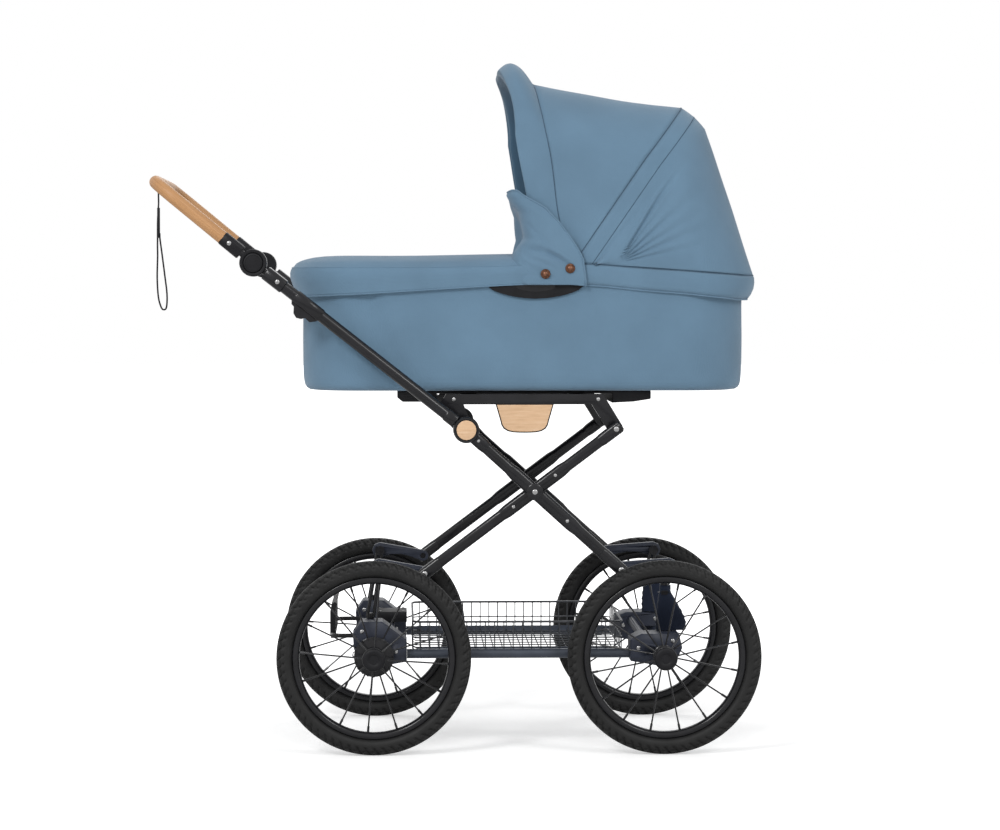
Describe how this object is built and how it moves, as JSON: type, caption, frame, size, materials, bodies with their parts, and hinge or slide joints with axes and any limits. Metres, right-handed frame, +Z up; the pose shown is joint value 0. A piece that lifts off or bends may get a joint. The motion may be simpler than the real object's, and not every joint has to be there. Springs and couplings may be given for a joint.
{
  "type": "pram",
  "caption": "Carrycot pram with a folding hood and apron on a scissor chassis, spoked wheels, a wire basket and a wooden tilting push handle.",
  "frame": {"origin": "on the floor under the middle of the pram's outer box", "axes": "+Z up, +X forward to the hood end, +Y to the pram's left"},
  "size_m": [1.142, 0.614, 1.2726],
  "materials": {
    "tyre": "matte black",
    "frame": "satin black paint",
    "wheel": "gloss black",
    "bracket": "dark blue-grey moulded",
    "plastic": "black moulded",
    "pale_wood": "pale lacquered",
    "handle_wood": "oiled",
    "blue_fabric": "woven blue",
    "navy_fabric": "woven navy",
    "padding": "quilted cotton"
  },
  "bodies": {
    "undercarriage": {"rear_axle": "frame", "front_axle": "frame", "rear_axle_carrier": "bracket", "front_axle_carrier": "bracket", "side_tube_right": "frame", "side_tube_left": "frame", "rear_strut_right": "frame", "rear_strut_left": "frame", "front_strut_right": "frame", "front_strut_left": "frame", "spring_cover_right": "navy_fabric", "spring_cover_left": "navy_fabric", "basket": "frame", "brake_box": "plastic"},
    "brake_pedal": {"brake_pedal": "frame"},
    "rear_links": {"rear_link_right": "bracket", "rear_link_left": "bracket"},
    "front_links": {"front_link_right": "bracket", "front_link_left": "bracket"},
    "rear_legs": {"rear_leg_frame": "frame"},
    "front_legs": {"front_leg_right": "frame", "front_leg_left": "frame", "fold_cap_right": "pale_wood", "fold_cap_left": "pale_wood"},
    "seat_frame": {"seat_rail_right": "frame", "seat_rail_left": "frame", "seat_crossbar_rear": "frame", "seat_crossbar_front": "frame", "side_plate": "pale_wood"},
    "handle_frame": {"handle_tube_right": "frame", "handle_tube_left": "frame"},
    "handle": {"tilt_arm_right": "plastic", "tilt_arm_left": "plastic", "grip": "handle_wood", "wrist_strap": "plastic"},
    "tilt_button_right": {"tilt_button_right": "plastic"},
    "tilt_button_left": {"tilt_button_left": "plastic"},
    "cot": {"cot_base": "plastic", "cot_tub": "blue_fabric", "mattress": "padding", "apron": "blue_fabric", "hood_rear_panel": "blue_fabric", "hood_bracket_right": "plastic", "hood_bracket_left": "plastic"},
    "hood_rear_bow": {"hood_rear_bow": "frame", "hood_front_panel": "blue_fabric"},
    "hood_front_bow": {"hood_front_bow": "frame", "hood_visor": "blue_fabric"},
    "rear_right_wheel": {"tyre_rear_right": "tyre", "rim_rear_right": "wheel", "hub_rear_right": "wheel"},
    "rear_left_wheel": {"tyre_rear_left": "tyre", "rim_rear_left": "wheel", "hub_rear_left": "wheel"},
    "front_right_wheel": {"tyre_front_right": "tyre", "rim_front_right": "wheel", "hub_front_right": "wheel"},
    "front_left_wheel": {"tyre_front_left": "tyre", "rim_front_left": "wheel", "hub_front_left": "wheel"}
  },
  "joints": [
    {"name": "rear_right_wheel_roll", "type": "hinge", "parent": "undercarriage", "child": "rear_right_wheel", "pos_m": [-0.14939, -0.27, 0.17732], "axis": [0, 1, 0], "continuous": true},
    {"name": "rear_left_wheel_roll", "type": "hinge", "parent": "undercarriage", "child": "rear_left_wheel", "pos_m": [-0.14939, 0.27, 0.17732], "axis": [0, 1, 0], "continuous": true},
    {"name": "front_right_wheel_roll", "type": "hinge", "parent": "undercarriage", "child": "front_right_wheel", "pos_m": [0.38061, -0.27, 0.17732], "axis": [0, 1, 0], "continuous": true},
    {"name": "front_left_wheel_roll", "type": "hinge", "parent": "undercarriage", "child": "front_left_wheel", "pos_m": [0.38061, 0.27, 0.17732], "axis": [0, 1, 0], "continuous": true},
    {"name": "fold", "type": "hinge", "parent": "undercarriage", "child": "rear_links", "pos_m": [-0.14099, 0, 0.337], "axis": [0, 1, 0], "range_deg": [0, 60]},
    {"name": "rear_leg_fold", "type": "hinge", "parent": "rear_links", "child": "rear_legs", "pos_m": [-0.05639, 0, 0.326], "axis": [0, 1, 0], "range_deg": [-36.7, 0]},
    {"name": "scissor_fold", "type": "hinge", "parent": "rear_legs", "child": "front_legs", "pos_m": [0.14495, 0, 0.47758], "axis": [0, 1, 0], "range_deg": [-50.3, 0]},
    {"name": "seat_fold", "type": "hinge", "parent": "rear_legs", "child": "seat_frame", "pos_m": [0.29561, 0, 0.591], "axis": [0, 1, 0], "range_deg": [-23.4, 0]},
    {"name": "front_link_fold", "type": "hinge", "parent": "undercarriage", "child": "front_links", "pos_m": [0.39561, 0, 0.337], "axis": [0, 1, 0], "range_deg": [-53.5, 0]},
    {"name": "handle_fold", "type": "hinge", "parent": "front_legs", "child": "handle_frame", "pos_m": [0.01961, 0, 0.591], "axis": [0, 1, 0], "range_deg": [0, 60]},
    {"name": "handle_tilt", "type": "hinge", "parent": "handle_frame", "child": "handle", "pos_m": [-0.36799, 0, 0.8956], "axis": [0, 1, 0], "range_deg": [-40, 50]},
    {"name": "tilt_button_right_press", "type": "slide", "parent": "handle", "child": "tilt_button_right", "axis": [0, 1, 0], "range_m": [0, 0.0025], "stiffness_N_per_m": 400, "springref_m": -0.001},
    {"name": "tilt_button_left_press", "type": "slide", "parent": "handle", "child": "tilt_button_left", "axis": [0, -1, 0], "range_m": [0, 0.0025], "stiffness_N_per_m": 400, "springref_m": -0.001},
    {"name": "cot_lift", "type": "slide", "parent": "seat_frame", "child": "cot", "axis": [0, 0, 1], "range_m": [0, 0.12]},
    {"name": "hood_fold", "type": "hinge", "parent": "cot", "child": "hood_rear_bow", "pos_m": [0.20061, 0, 0.872], "axis": [0, 1, 0], "range_deg": [0, 40], "deforming": ["hood_rear_panel", "hood_front_panel"]},
    {"name": "hood_front_fold", "type": "hinge", "parent": "hood_rear_bow", "child": "hood_front_bow", "pos_m": [0.20061, 0, 0.872], "axis": [0, 1, 0], "range_deg": [0, 38.2]},
    {"name": "brake_press", "type": "hinge", "parent": "undercarriage", "child": "brake_pedal", "pos_m": [-0.17439, 0, 0.206], "axis": [0, 1, 0], "range_deg": [-25, 0]}
  ],
  "couplings": [
    {"joint": "rear_leg_fold", "follows": "fold", "ratio": -0.6111},
    {"joint": "scissor_fold", "follows": "fold", "ratio": -0.8371},
    {"joint": "seat_fold", "follows": "fold", "ratio": -0.3889},
    {"joint": "front_link_fold", "follows": "fold", "ratio": -0.8897},
    {"joint": "hood_front_fold", "follows": "hood_fold", "ratio": 0.95}
  ]
}
